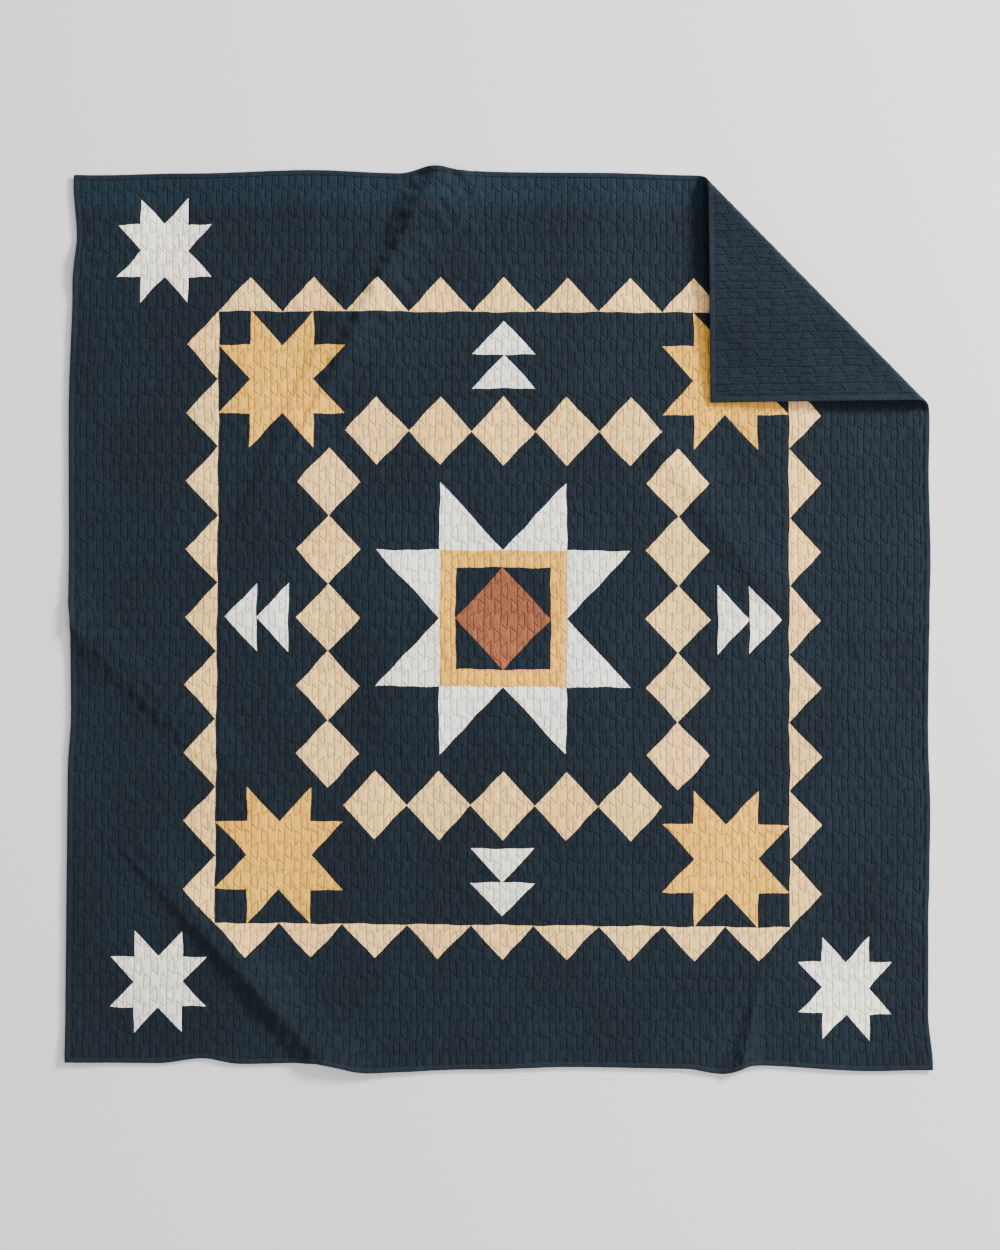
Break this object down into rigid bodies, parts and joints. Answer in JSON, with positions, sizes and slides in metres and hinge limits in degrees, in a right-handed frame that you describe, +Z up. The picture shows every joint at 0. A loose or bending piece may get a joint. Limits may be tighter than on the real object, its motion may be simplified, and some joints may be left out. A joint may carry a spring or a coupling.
{
  "type": "quilt blanket",
  "caption": "Pieced and stitched cotton quilt with a star medallion, laid flat with its top right corner turned over to show the backing.",
  "frame": {"origin": "middle of the quilt's bounding box, on the surface that it rests on", "axes": "+X to the quilt's right and +Y to its top edge, seen from above, +Z up out of its front"},
  "size_m": [2.3586, 2.4594, 0.034],
  "materials": {
    "pieced_top": "plain woven quilting cotton in navy, cream, peach, gold and rust patches, machine stitched in narrow channels, matt",
    "backing": "plain navy quilting cotton, matt, with the same stitched channels",
    "binding": "folded navy cotton strip, matt"
  },
  "bodies": {
    "root": {"quilt_front": "pieced_top", "quilt_back": "backing", "binding_bottom": "binding", "binding_right": "binding", "binding_top": "binding", "binding_left": "binding"}
  },
  "joints": []
}
